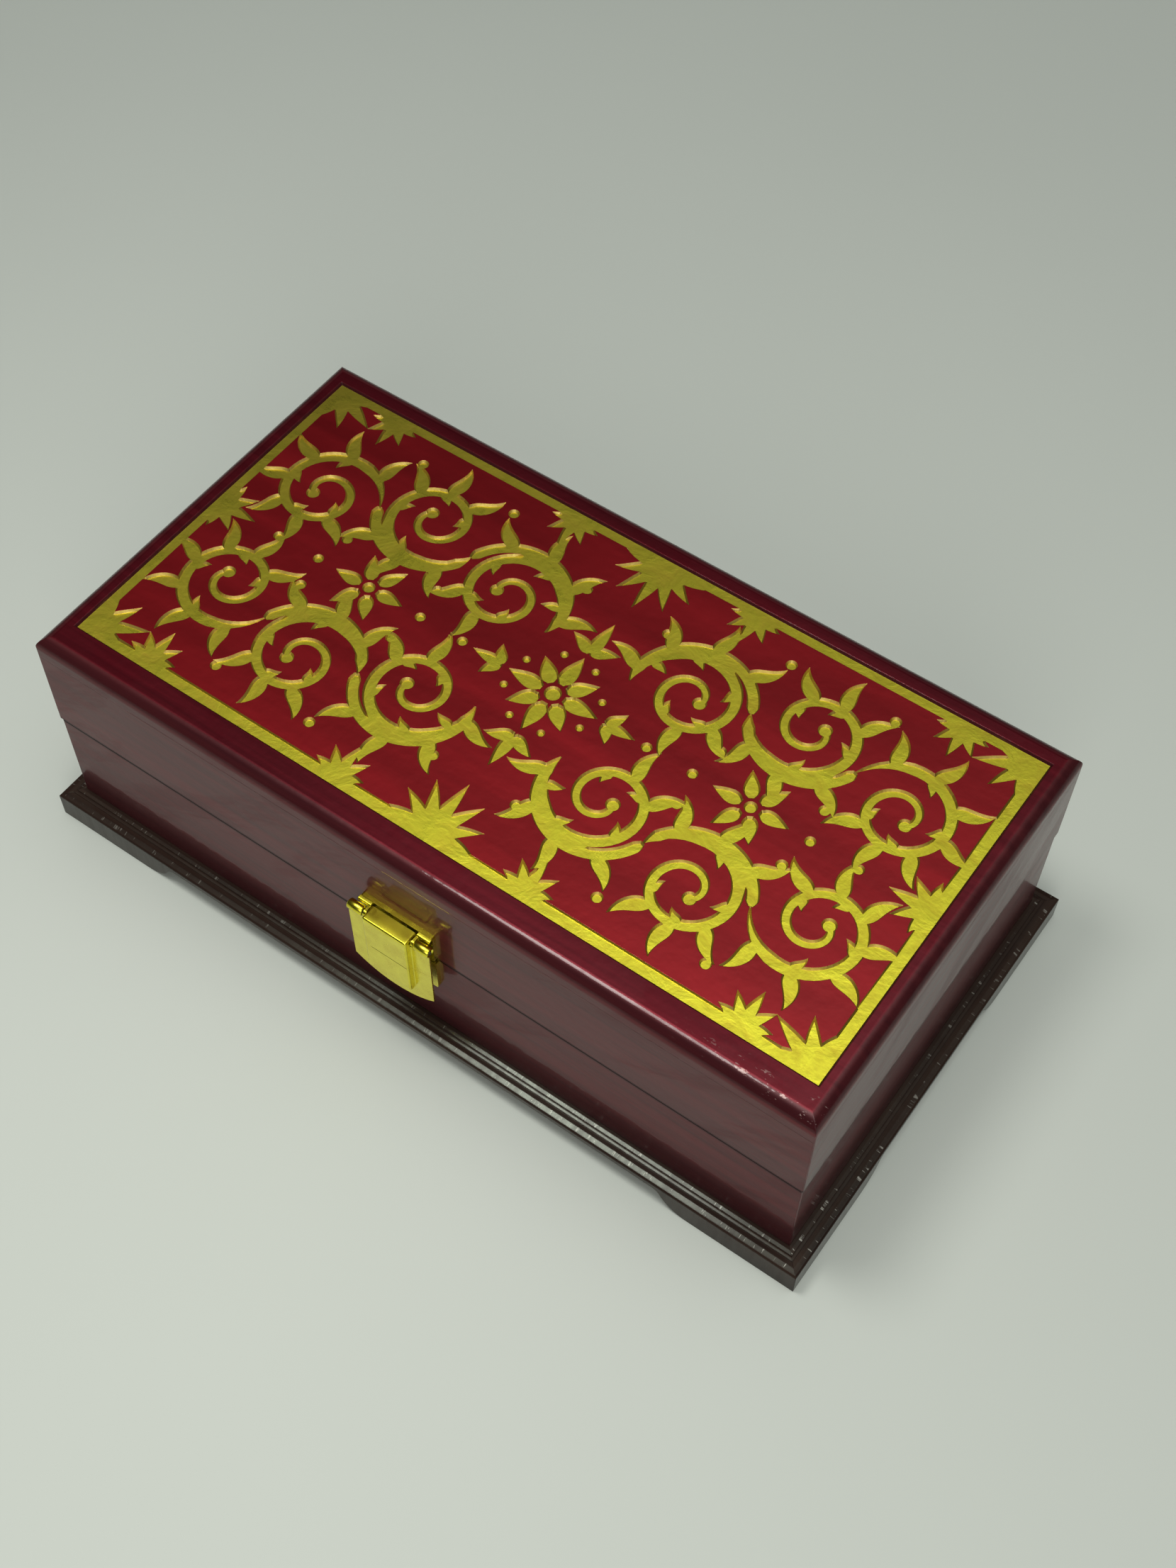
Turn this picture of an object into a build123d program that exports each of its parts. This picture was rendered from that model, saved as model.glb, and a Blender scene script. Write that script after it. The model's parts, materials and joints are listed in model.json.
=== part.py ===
from build123d import *
import math
import os

# A lacquered wooden box: a hinged lid with a gilt border, a base on a moulded plinth
# with bracket feet, two stop hinges at the back and a small brass latch in front.
# Millimetres. +X runs along the length, the latch faces -Y and +Z is up.
# The origin is on the ground, under the middle of the base.

os.makedirs("parts", exist_ok=True)

# Carcass
lid_length = 260.0
lid_width = 137.0
lid_depth = 36.85
base_height = 47.35
seam_gap = 0.3
lid_overhang = 0.4
wall = 9.0
corner_radius = 0.5
rim_easing = 0.6
relief_length = 9.6
relief_height = 0.7

# Lid top and its gilt border
top_thickness = 7.0
edge_radius = 4.0
border_length = 248.0
border_depth = 119.4
border_width = 4.1
border_set_back = 1.7
recess_depth = 1.0
gilt_thickness = 0.2
bevel_angle = 30.0

# Bottom panel in its groove
bottom_thickness = 3.0
bottom_level = 10.0
groove_depth = 3.0
groove_clearance = 0.1

# Plinth moulding, measured outward from the base's walls and upward from the ground
plinth_projection = 6.3
plinth_top = 11.3
middle_level = 10.4
lower_level = 9.95
upper_step = 2.05
middle_step = 3.0
upper_nose = 1.0
middle_nose = 0.65
lower_nose = 1.2
nose_slope = 14.0
arris_radius = 0.75

# Bracket feet
foot_height = 7.3
foot_length = 35.0
foot_depth = 7.0
ogee_run = 12.2
ogee_bend_drop = 1.5

# Lining of covered board
lining = 1.5
lining_below_rim = 1.0
floor_pad = 2.5
lid_pad = 2.0
lining_clearance = 0.1
pad_rounding = 0.7

# Stop hinges
hinge_inset = 55.0
hinge_width = 26.0
leaf_reach = 8.0
leaf_thickness = 0.9
mortice_clearance = 0.1
barrel_radius = 1.9
hinge_set_off = 2.7
hinge_pin_radius = 0.9
middle_knuckle = 10.0
knuckle_gap = 0.3
pin_clearance = 0.05
pin_press_clearance = 0.01
flange_drop = 5.5
heel_reach = 3.6
heel_thickness = 1.2
lid_opening = 100.0
stop_clearance = 0.1
leaf_screw_spacing = 16.0

# Countersunk screws
screw_head_radius = 1.7
screw_head_height = 0.9
screw_radius = 0.9
screw_length = 8.0
screw_sides = 12
screw_clearance = 0.05

# Latch, measured outward from the lid's front and upward from the ground
latch_x = -0.8
latch_plate_width = 25.0
latch_plate_thickness = 1.4
latch_plate_rounding = 0.8
plate_seam_margin = 0.6
lid_plate_height = 11.95
keeper_height = 13.2
lid_plate_screw_height = 4.6
keeper_screw_height = 6.6
latch_screw_spacing = 17.0
flap_width = 28.0
flap_front = 5.6
flap_sheet = 0.9
flap_corner_drop = 14.5
flap_middle_drop = 19.0
flap_edge_rounding = 0.35
boss_width = 15.2
boss_rise = 1.4
boss_drop = 12.2
boss_wall = 0.8
boss_rounding = 0.3
shelf_clearance = 0.3
crease_drop = 0.6
crease_width = 0.25
crease_depth = 0.15
ear_radius = 1.25
ear_below_top = 1.6
latch_pin_radius = 0.6
pin_end_margin = 0.1
lug_thickness = 0.8
lug_radius = 1.1
lug_side_gap = 0.25
lug_swing_gap = 0.5
ridge_length = 10.0
ridge_radius = 1.2
ridge_front = 3.9
ridge_drop = 6.7
clip_width = 6.0
clip_thickness = 0.4
clip_seat = 4.0
clip_top_drop = -6.5
clip_run = 6.5
clip_hump = 4.4
clip_valley = 5.0
clip_tail = 5.2
clip_hump_spacing = 5.6
clip_tail_run = 1.5
clip_bend_radius = 1.0

# Levels and outer sizes that follow
base_length = lid_length - 2 * lid_overhang
base_width = lid_width - 2 * lid_overhang
lid_rim = base_height + seam_gap
lid_top = lid_rim + lid_depth
board_level = lid_top - top_thickness
seam = base_height + seam_gap / 2
hinge_y = lid_width / 2 + hinge_set_off
latch_top = lid_rim + plate_seam_margin + lid_plate_height
pivot_z = latch_top - ear_below_top
pivot_out = flap_front - ear_radius
ear_start = boss_width / 2 + 2 * lug_side_gap + lug_thickness

# A section is drawn as (outward, up) and stood on this plane, facing -Y.
section_plane = Plane(origin=(0, 0, 0), x_dir=(0, -1, 0), z_dir=(-1, 0, 0))


def block(x, y, z):
    """A box between three (low, high) pairs."""
    middle = [(low + high) / 2 for low, high in (x, y, z)]
    size = [high - low for low, high in (x, y, z)]
    return Pos(*middle) * Box(*size)


def filled(*lines):
    """The face inside a closed run of lines."""
    return make_face([edge for line in lines for edge in line.edges()])


def rod(radius, x, y, z):
    """A cylinder along X between the (low, high) pair x."""
    return Pos((x[0] + x[1]) / 2, y, z) * Rot(0, 90, 0) * Cylinder(radius, x[1] - x[0])


def four_sides(length, width):
    """Name, turn about Z, run and distance from the middle of a rectangle's sides."""
    return [
        ("front", 0, length, width / 2),
        ("right", 90, width, length / 2),
        ("back", 180, length, width / 2),
        ("left", 270, width, length / 2),
    ]


def mitred_strip(profile, run, outward, inward):
    """Run an (outward, up) profile along a side and cut both ends at 45 degrees."""
    bar = extrude(section_plane * profile, run / 2 + outward, both=True)
    corners = [
        (-run / 2 - outward, -outward),
        (run / 2 + outward, -outward),
        (run / 2 - inward, inward),
        (-run / 2 + inward, inward),
    ]
    plan = make_face(Polyline(*corners, close=True))
    return bar & extrude(plan, lid_top)


def upright_profile(rim, end):
    """Section of a plain wall whose outer face is at zero, with its rim's arris eased."""
    turn = math.copysign(rim_easing, end - rim)
    sides = Polyline((-rim_easing, rim), (-wall, rim), (-wall, end), (0, end), (0, rim + turn))
    return filled(sides, TangentArc((0, rim + turn), (-rim_easing, rim), tangent=(0, -turn)))


def soft_corners(length, width):
    """The outline that rounds the four upright corners of a carcass."""
    return extrude(RectangleRounded(length, width, corner_radius), lid_top)


def mitred_walls(prefix, length, width, rim, end):
    """Four mitred walls between their rim and their other end, keyed by name."""
    walls = {}
    for name, turn, run, distance in four_sides(length, width):
        strip = mitred_strip(upright_profile(rim, end), run, 0, wall)
        walls[prefix + name] = Rot(0, 0, turn) * Pos(0, -distance, 0) * strip
        walls[prefix + name] &= soft_corners(length, width)
    return walls


def bottom_size(allowance):
    """Length and width of the bottom panel, with an allowance taken off each edge."""
    cut = 2 * (wall - groove_depth + allowance)
    return base_length - cut, base_width - cut


def bottom_panel():
    """Thin panel held in a groove round the inside of the base."""
    length, width = bottom_size(groove_clearance)
    return Pos(0, 0, bottom_level + bottom_thickness / 2) * Box(length, width, bottom_thickness)


def bottom_groove():
    """The space that the groove leaves for the bottom panel."""
    height = bottom_thickness + groove_clearance
    return Pos(0, 0, bottom_level + height / 2) * Box(*bottom_size(0), height)


def screw(extra=0.0):
    """Countersunk screw, head at the origin and shank down -Z; extra grows its hole."""
    rim = RegularPolygon(screw_head_radius + extra, screw_sides)
    shank = RegularPolygon(screw_radius + extra, screw_sides)
    head = loft([rim, Pos(0, 0, -screw_head_height) * shank], ruled=True)
    return head + extrude(shank, -screw_length - extra)


def hinge_places():
    """The middle of each hinge along X."""
    reach = lid_length / 2 - hinge_inset
    return {"left": -reach, "right": reach}


def leaf_screw_places(sign, back, level):
    """Where the screws of both hinges stand; sign is 1 for heads up and -1 for down."""
    turn = Rot(0 if sign > 0 else 180, 0, 0)
    places = []
    for x in hinge_places().values():
        for side in (-1, 1):
            spot = Pos(x + side * leaf_screw_spacing / 2, back - leaf_reach / 2, level)
            places.append(spot * turn)
    return places


def latch_screw_places(level, face):
    """Where the two screws of a latch plate stand, heads towards -Y."""
    spots = []
    for side in (-1, 1):
        x = latch_x + side * latch_screw_spacing / 2
        spots.append(Pos(x, -lid_width / 2 - face, level) * Rot(90, 0, 0))
    return spots


def screws(places):
    """Screws at the given places, as one group of separate solids."""
    return Compound([place * screw() for place in places])


def drill(body, places):
    """Countersink and drill a body at the given places."""
    for place in places:
        body -= place * screw(screw_clearance)
    return body


def rim_relief(back, rim, height):
    """Long wedge planed off a rim, from nothing at its front to height at the back."""
    outline = Polyline((back, rim), (back - relief_length, rim), (back, rim + height), close=True)
    return extrude(Plane.YZ * make_face(outline), lid_length, both=True)


def leaf_mortices(back, low, high):
    """The shallow seats that both hinges need in a back wall."""
    half = hinge_width / 2 + mortice_clearance
    front = back - leaf_reach - mortice_clearance
    seats = [
        block((x - half, x + half), (front, back + wall), (low, high))
        for x in hinge_places().values()
    ]
    return Compound(seats)


def plinth_profile():
    """Section of the plinth: three low steps with sloped noses above a square face."""
    lower_step = plinth_projection - arris_radius
    steps = [
        (plinth_top, upper_step, upper_nose),
        (middle_level, middle_step, middle_nose),
        (lower_level, lower_step, lower_nose),
    ]
    outline = [(-foot_depth, 0), (-foot_depth, foot_height), (0, foot_height)]
    start = 0
    for level, reach, nose in steps:
        edge = level - nose * math.tan(math.radians(nose_slope))
        outline += [(start, level), (reach - nose, level), (reach, edge)]
        start = reach
    face_top = (plinth_projection, edge - arris_radius)
    rounding = TangentArc(face_top, (lower_step, edge), tangent=(0, 1))
    face = Polyline(face_top, (plinth_projection, 0), (-foot_depth, 0))
    return filled(Polyline(*outline), rounding, face)


def foot_gap(run):
    """The low arch between two bracket feet, with an ogee at each end."""
    reach = run / 2 + plinth_projection - foot_length
    crown = reach - ogee_run
    bend = crown + ogee_run * ogee_bend_drop / foot_height
    lines = [
        Polyline((-reach, 0), (-reach, -wall), (reach, -wall), (reach, 0)),
        Line((crown, foot_height), (-crown, foot_height)),
    ]
    for side in (-1, 1):
        middle = (side * bend, foot_height - ogee_bend_drop)
        lines.append(TangentArc((side * reach, 0), middle, tangent=(-side, 0)))
        lines.append(TangentArc((side * crown, foot_height), middle, tangent=(side, 0)))
    gap = extrude(Plane.XZ * filled(*lines), plinth_projection + wall)
    return gap + block((-reach, reach), (0, wall), (-wall, foot_height))


def plinth_strips():
    """Four mitred plinth mouldings with their bracket feet, keyed by name."""
    strips = {}
    for name, turn, run, distance in four_sides(base_length, base_width):
        strip = mitred_strip(plinth_profile(), run, plinth_projection, foot_depth)
        strip -= foot_gap(run)
        strips["plinth_" + name] = Rot(0, 0, turn) * Pos(0, -distance, 0) * strip
    return strips


def rounded_section(width):
    """Section of the lid's top board, rounded at its two upper corners."""
    section = Rectangle(width, top_thickness)
    return fillet(section.vertices().group_by(Axis.Y)[-1], edge_radius)


def border_plate(inset, level, height, taper):
    """A plate that lies inside the gilt border's outline, inset from its outer edge."""
    outline = Rectangle(border_length - 2 * inset, border_depth - 2 * inset)
    return Pos(0, border_set_back, level) * extrude(outline, height, taper=taper)


def bevel_run(height):
    """How far a bevel of this height leans."""
    return height * math.tan(math.radians(bevel_angle))


def lid_board():
    """Top board of the lid, rounded along its edges, with the border's recess."""
    across = extrude(Plane.YZ * rounded_section(lid_width), lid_length / 2, both=True)
    along = extrude(Plane.XZ * rounded_section(lid_length), lid_width / 2, both=True)
    board = Pos(0, 0, board_level + top_thickness / 2) * (across & along)
    board &= soft_corners(lid_length, lid_width)
    floor = lid_top - recess_depth
    return board - border_plate(bevel_run(recess_depth), floor, recess_depth, -bevel_angle)


def gilt_ground():
    """Gilded ground that lies on the floor of the recess."""
    return border_plate(bevel_run(recess_depth), lid_top - recess_depth, gilt_thickness, 0)


def field_panel():
    """Lacquered field inside the border, flush with the lid's top."""
    height = recess_depth - gilt_thickness
    inset = border_width - bevel_run(height)
    return border_plate(inset, lid_top - height, height, bevel_angle)


def lining_board(width, low, high, side):
    """Covered board that stands against a wall; its free end, low or high, is rounded."""
    board = block((-width / 2, width / 2), (0, lining), (low, high))
    edge = board.faces().sort_by(Axis.Z)[side].edges().filter_by(Axis.X)
    return fillet(edge, pad_rounding)


def lining_set(prefix, length, width, low, high, side):
    """Four lining boards round the inside of a carcass, keyed by name."""
    boards = {}
    for name, turn, run, distance in four_sides(length, width):
        span = run - 2 * (wall + lining_clearance)
        if name in ("left", "right"):
            span -= 2 * lining
        board = lining_board(span, low, high, side)
        boards[prefix + name] = Rot(0, 0, turn) * Pos(0, wall - distance, 0) * board
    return boards


def pad(length, width, low, high, side):
    """Soft pad inside a carcass, rounded on the face that shows."""
    cut = 2 * (wall + lining_clearance)
    cushion = Pos(0, 0, (low + high) / 2) * Box(length - cut, width - cut, high - low)
    return fillet(cushion.faces().sort_by(Axis.Z)[side].edges(), pad_rounding)


def knuckle_spans():
    """The outer knuckles' spans along X, left and right."""
    inner = middle_knuckle / 2 + knuckle_gap
    return [(-hinge_width / 2, -inner), (inner, hinge_width / 2)]


def knuckle(span, back, low):
    """One hinge knuckle with the neck that joins it to its leaf."""
    neck = block(span, (back, hinge_y), (low, low + leaf_thickness))
    return rod(barrel_radius, span, hinge_y, seam) + neck


def base_leaf():
    """Lower leaf: its plate, the flange down the back and the middle knuckle."""
    half = hinge_width / 2
    back = base_width / 2
    low = base_height - leaf_thickness
    leaf = block((-half, half), (back - leaf_reach, back), (low, base_height))
    flange = (back, back + leaf_thickness)
    leaf += block((-half, half), flange, (base_height - flange_drop, base_height))
    leaf += knuckle((-middle_knuckle / 2, middle_knuckle / 2), back, low)
    return leaf - rod(hinge_pin_radius + pin_press_clearance, (-half, half), hinge_y, seam)


def heel_angle():
    """Angle at rest of the heel that meets the flange when the lid is fully open."""
    reach = hinge_set_off + lid_overhang - leaf_thickness - stop_clearance
    corner = math.hypot(heel_reach, heel_thickness / 2)
    lean = math.degrees(math.atan2(heel_thickness / 2, heel_reach))
    return lid_opening + lean - math.degrees(math.acos(-reach / corner))


def heel(span):
    """Stop on an outer knuckle."""
    bore = hinge_pin_radius + pin_clearance
    half = heel_thickness / 2
    arm = block(span, (bore, heel_reach), (-half, half))
    return Pos(0, hinge_y, seam) * Rot(heel_angle(), 0, 0) * arm


def lid_leaf():
    """Upper leaf: its plate, two outer knuckles and their stop heels."""
    half = hinge_width / 2
    back = lid_width / 2
    leaf = block((-half, half), (back - leaf_reach, back), (lid_rim, lid_rim + leaf_thickness))
    for span in knuckle_spans():
        leaf += knuckle(span, back, lid_rim)
        leaf += heel(span)
    return leaf - rod(hinge_pin_radius + pin_clearance, (-half, half), hinge_y, seam)


def hinge_pin():
    """Pin through the three knuckles of a hinge."""
    half = hinge_width / 2
    return rod(hinge_pin_radius, (-half, half), hinge_y, seam)


def hinges(base_screws, lid_screws):
    """Leaves and pins of both hinges, keyed by name."""
    parts = {}
    for side, x in hinge_places().items():
        parts[f"hinge_{side}_base_leaf"] = drill(Pos(x, 0, 0) * base_leaf(), base_screws)
        parts[f"hinge_{side}_lid_leaf"] = drill(Pos(x, 0, 0) * lid_leaf(), lid_screws)
        parts[f"hinge_{side}_pin"] = Pos(x, 0, 0) * hinge_pin()
    return parts


def on_front(piece):
    """Carry a latch piece from its own origin to the front of the lid."""
    return Pos(latch_x, -lid_width / 2, 0) * piece


def latch_plate(back, low, high):
    """Flat plate with soft corners; back is its rear face, outward from the lid."""
    half = latch_plate_width / 2
    plate = block((-half, half), (-back - latch_plate_thickness, -back), (low, high))
    return fillet(plate.edges().filter_by(Axis.Y), latch_plate_rounding)


def lug(side):
    """Ear of the lid plate that carries the latch pin."""
    inner = boss_width / 2 + lug_side_gap
    span = sorted((side * inner, side * (inner + lug_thickness)))
    arm = block(span, (-pivot_out, 0), (pivot_z - lug_radius, pivot_z + lug_radius))
    return arm + rod(lug_radius, span, -pivot_out, pivot_z)


def pin_bore(clearance):
    """The hole for the latch pin, right across the latch."""
    half = flap_width / 2
    return rod(latch_pin_radius + clearance, (-half, half), -pivot_out, pivot_z)


def latch_lid_plate():
    """Plate on the lid with the two lugs for the pin."""
    plate = latch_plate(0, latch_top - lid_plate_height, latch_top)
    return plate + (lug(-1) + lug(1) - pin_bore(pin_press_clearance))


def latch_keeper():
    """Plate on the base with the ridge that the flap's clip snaps over."""
    back = -lid_overhang
    top = base_height - plate_seam_margin
    plate = latch_plate(back, top - keeper_height, top)
    span = (-ridge_length / 2, ridge_length / 2)
    nose = ridge_front - ridge_radius
    middle = seam - ridge_drop
    stem = block(span, (-nose, -back), (middle - ridge_radius, middle + ridge_radius))
    stem += rod(ridge_radius, span, -nose, middle)
    return plate + (stem - block(span, (-back - latch_plate_thickness / 2, wall), (0, lid_top)))


def flap_sheet_outline():
    """Outline of the flap's sheet: bowed bottom, straight sides, strips to the ears."""
    half = flap_width / 2
    boss = boss_width / 2
    corner = seam - flap_corner_drop
    notch = pivot_z - lug_radius - lug_swing_gap
    return [
        ThreePointArc((-half, corner), (0, seam - flap_middle_drop), (half, corner)),
        Polyline(
            (half, corner),
            (half, pivot_z),
            (ear_start, pivot_z),
            (ear_start, notch),
            (boss, notch),
            (boss, pivot_z),
            (-boss, pivot_z),
            (-boss, notch),
            (-ear_start, notch),
            (-ear_start, pivot_z),
            (-half, pivot_z),
            (-half, corner),
        ),
    ]


def flap_plate():
    """Thin sheet of the flap, its front rim rounded along the bottom and the sides."""
    plane = Plane.XZ.offset(flap_front - flap_sheet)
    sheet = extrude(plane * filled(*flap_sheet_outline()), flap_sheet)
    rim = sheet.faces().sort_by(Axis.Y)[0].edges().sort_by(Axis.Z)[0]
    return fillet(rim, flap_edge_rounding)


def boss():
    """Raised panel of the flap, folded back at the top as a shelf."""
    half = boss_width / 2
    front = flap_front + boss_rise
    back = flap_front - flap_sheet
    low = seam - boss_drop
    panel = block((-half, half), (-front, -back), (low, latch_top))
    panel = fillet(panel.faces().sort_by(Axis.Y)[0].edges(), boss_rounding)
    crease = seam - crease_drop
    width = (crease - crease_width / 2, crease + crease_width / 2)
    return panel - block((-half, half), (-front, -front + crease_depth), width)


def boss_hollow():
    """The space inside the raised panel, open towards the lid."""
    half = boss_width / 2 - boss_wall
    front = flap_front + boss_rise - boss_wall
    low = seam - boss_drop + boss_wall
    return block((-half, half), (-front, -flap_front + 2 * flap_sheet), (low, latch_top - boss_wall))


def shelf():
    """The raised panel's top, folded back towards the lid plate."""
    half = boss_width / 2
    swing = pivot_out - latch_plate_thickness - shelf_clearance
    back = pivot_out - math.sqrt(swing**2 - ear_below_top**2)
    return block((-half, half), (-flap_front, -back), (latch_top - boss_wall, latch_top))


def latch_flap():
    """Flap of the latch: sheet, raised panel, shelf and the two rolled ears."""
    half = flap_width / 2
    flap = flap_plate() + boss() - boss_hollow() + shelf()
    for span in ((-half, -ear_start), (ear_start, half)):
        flap += rod(ear_radius, span, -pivot_out, pivot_z)
    return flap - pin_bore(pin_clearance)


def clip_line():
    """Springy line of the clip: a flat seat, two humps and the valley between them."""
    seat = flap_front + boss_rise - boss_wall
    top = seam - clip_top_drop
    bend = top - clip_seat
    hump = bend - clip_run
    low = hump - clip_hump_spacing
    points = [
        (seat, top),
        (seat, bend),
        (clip_hump, hump),
        (clip_valley, (hump + low) / 2),
        (clip_hump, low),
        (clip_tail, low - clip_tail_run),
    ]
    return FilletPolyline(*points, radius=clip_bend_radius)


def latch_clip():
    """Spring leaf inside the flap that snaps over the keeper's ridge."""
    strip = offset(clip_line(), clip_thickness, side=Side.RIGHT)
    return extrude(section_plane * make_face(strip), clip_width / 2, both=True)


def latch_pin():
    """Pin of the latch, just short of the ears' outer ends."""
    half = flap_width / 2 - pin_end_margin
    return rod(latch_pin_radius, (-half, half), -pivot_out, pivot_z)


def carcass(base_screws, lid_screws):
    """Walls of the base and rails of the lid, with their grooves, seats and holes."""
    base = mitred_walls("base_wall_", base_length, base_width, base_height, foot_height)
    base_relief = rim_relief(base_width / 2, base_height, -relief_height)
    for name in base:
        base[name] -= bottom_groove() + base_relief
    lid = mitred_walls("lid_rail_", lid_length, lid_width, lid_rim, board_level)
    lid_relief = rim_relief(lid_width / 2, lid_rim, relief_height)
    for name in lid:
        lid[name] -= lid_relief
    base_seat = leaf_mortices(base_width / 2, base_height - leaf_thickness, lid_top)
    lid_seat = leaf_mortices(lid_width / 2, 0, lid_rim + leaf_thickness)
    base["base_wall_back"] = drill(base["base_wall_back"] - base_seat, base_screws)
    lid["lid_rail_back"] = drill(lid["lid_rail_back"] - lid_seat, lid_screws)
    return {**base, **lid}


def linings():
    """Floor pad, lid pad and the eight lining boards, keyed by name."""
    floor = bottom_level + bottom_thickness
    base_top = base_height - lining_below_rim
    lid_low = lid_rim + lining_below_rim
    parts = {
        "base_lining_floor": pad(base_length, base_width, floor, floor + floor_pad, -1),
        "lid_lining_top": pad(lid_length, lid_width, board_level - lid_pad, board_level, 0),
    }
    parts |= lining_set("base_lining_", base_length, base_width, floor + floor_pad, base_top, -1)
    parts |= lining_set("lid_lining_", lid_length, lid_width, lid_low, board_level - lid_pad, 0)
    return parts


def latch(lid_places, keeper_places):
    """Every piece of the latch, keyed by name."""
    return {
        "latch_lid_plate": drill(on_front(latch_lid_plate()), lid_places),
        "latch_keeper_plate": drill(on_front(latch_keeper()), keeper_places),
        "latch_flap": on_front(latch_flap()),
        "latch_clip": on_front(latch_clip()),
        "latch_pin": on_front(latch_pin()),
        "latch_lid_screws": screws(lid_places),
        "latch_keeper_screws": screws(keeper_places),
    }


def build():
    """The whole box, keyed by node name."""
    base_screws = leaf_screw_places(1, base_width / 2, base_height)
    lid_screws = leaf_screw_places(-1, lid_width / 2, lid_rim)
    lid_level = latch_top - lid_plate_height + lid_plate_screw_height
    keeper_level = base_height - plate_seam_margin - keeper_height + keeper_screw_height
    lid_places = latch_screw_places(lid_level, latch_plate_thickness)
    keeper_places = latch_screw_places(keeper_level, latch_plate_thickness - lid_overhang)
    nodes = carcass(base_screws, lid_screws)
    nodes["lid_rail_front"] = drill(nodes["lid_rail_front"], lid_places)
    nodes["base_wall_front"] = drill(nodes["base_wall_front"], keeper_places)
    nodes |= plinth_strips()
    nodes["base_bottom_panel"] = bottom_panel()
    nodes["lid_top_board"] = lid_board()
    nodes["lid_gilt_ground"] = gilt_ground()
    nodes["lid_field_panel"] = field_panel()
    nodes |= linings()
    nodes |= hinges(base_screws, lid_screws)
    nodes["hinge_base_screws"] = screws(base_screws)
    nodes["hinge_lid_screws"] = screws(lid_screws)
    nodes |= latch(lid_places, keeper_places)
    return nodes


for node, shape in build().items():
    export_step(shape, f"parts/{node}.step")
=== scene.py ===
import json

import bpy
import numpy as np
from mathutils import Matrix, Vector, geometry


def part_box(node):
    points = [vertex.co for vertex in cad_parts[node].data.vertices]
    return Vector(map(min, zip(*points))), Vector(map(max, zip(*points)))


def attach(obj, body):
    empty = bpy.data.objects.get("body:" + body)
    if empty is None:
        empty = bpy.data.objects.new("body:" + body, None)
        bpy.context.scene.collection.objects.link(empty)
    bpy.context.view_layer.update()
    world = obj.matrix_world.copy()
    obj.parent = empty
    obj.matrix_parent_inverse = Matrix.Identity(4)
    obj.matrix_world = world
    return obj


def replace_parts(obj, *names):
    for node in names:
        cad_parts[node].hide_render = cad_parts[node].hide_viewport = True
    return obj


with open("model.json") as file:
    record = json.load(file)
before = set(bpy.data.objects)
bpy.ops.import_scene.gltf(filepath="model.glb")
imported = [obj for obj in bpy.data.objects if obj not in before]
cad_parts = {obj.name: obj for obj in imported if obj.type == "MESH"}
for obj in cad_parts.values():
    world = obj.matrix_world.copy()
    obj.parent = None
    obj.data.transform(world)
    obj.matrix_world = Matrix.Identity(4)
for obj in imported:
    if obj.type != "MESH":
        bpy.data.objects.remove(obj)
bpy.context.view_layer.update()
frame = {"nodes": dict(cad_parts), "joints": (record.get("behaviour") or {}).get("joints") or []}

mm = 0.001


def corners(node_name):
    """A node's lowest and highest corners at rest, in millimetres, to a hundredth."""
    return np.round([np.array(corner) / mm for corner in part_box(node_name)], 2)


def pivot(joint_name):
    """A point on a joint's axis, in millimetres, to a hundredth."""
    spots = {joint["name"]: joint["pos_m"] for joint in frame["joints"]}
    return np.round(np.array(spots[joint_name]) / mm, 2)


# The lid's top, in metres: the border lies a little towards the hinges, and the ornament's cuts lean inwards.
field_low, field_high = corners("lid_field_panel")
cut_slope = 0.46 * mm
cut_lean_limit = 1.6
border_middle = (field_low[1] + field_high[1]) / 2 * mm
field_half = (field_high - field_low)[:2] / 2 * mm - cut_slope
lid_level = field_high[2] * mm
gilt_level = corners("lid_gilt_ground")[1, 2] * mm

# Where the lacquer changes on the walls, in metres up from the floor, and where painted shade darkens it:
# along the seam, on the lid's rounded edge and at the walls' foot.
top_levels = (lid_level - 0.07 * mm, lid_level - 0.005 * mm)
polish_levels = (lid_level - 3.2 * mm, lid_level - 1.0 * mm)
scuff_levels = (lid_level - 1.2 * mm, lid_level - 0.7 * mm)
rounding_level = lid_level - 1.3 * mm
seam_level = (corners("base_wall_front")[1, 2] + corners("lid_rail_front")[0, 2]) / 2 * mm
foot_levels = (18 * mm, 29 * mm)
shade_half = 1.5 * mm
scuff_right = (84 * mm, 125 * mm)
scuff_front = (-60 * mm, -63 * mm)
dulled_right = (30 * mm, 125 * mm)

# The plinth's steps, in metres out from the walls: each nose's middle and half width, and the upright face.
wall_half = (corners("base_wall_right")[1, 0] * mm, corners("base_wall_back")[1, 1] * mm)
upper_nose = (1.55 * mm, 0.55 * mm)
lower_nose = (4.95 * mm, 0.75 * mm)
square_face = (5.6 * mm, 6.2 * mm)

# Where the plinth is chipped and where its gloss comes and goes, in metres from the middle.
chipped_right = (0.0, 110 * mm)
chipped_front = (0.0, -50 * mm)
glossy_right = (0.0, 45 * mm)
rubbed_right = (45 * mm, 120 * mm)

# How far the finishes soften an arris, in metres, and the lacquer's ripples in cells to the metre.
lacquer_arris = 0.35 * mm
field_arris = 0.2 * mm
plinth_arris = 0.3 * mm
brass_arris = 0.18 * mm
ripple_cells = 260.0
ripple_depth = 0.8 * mm

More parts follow.
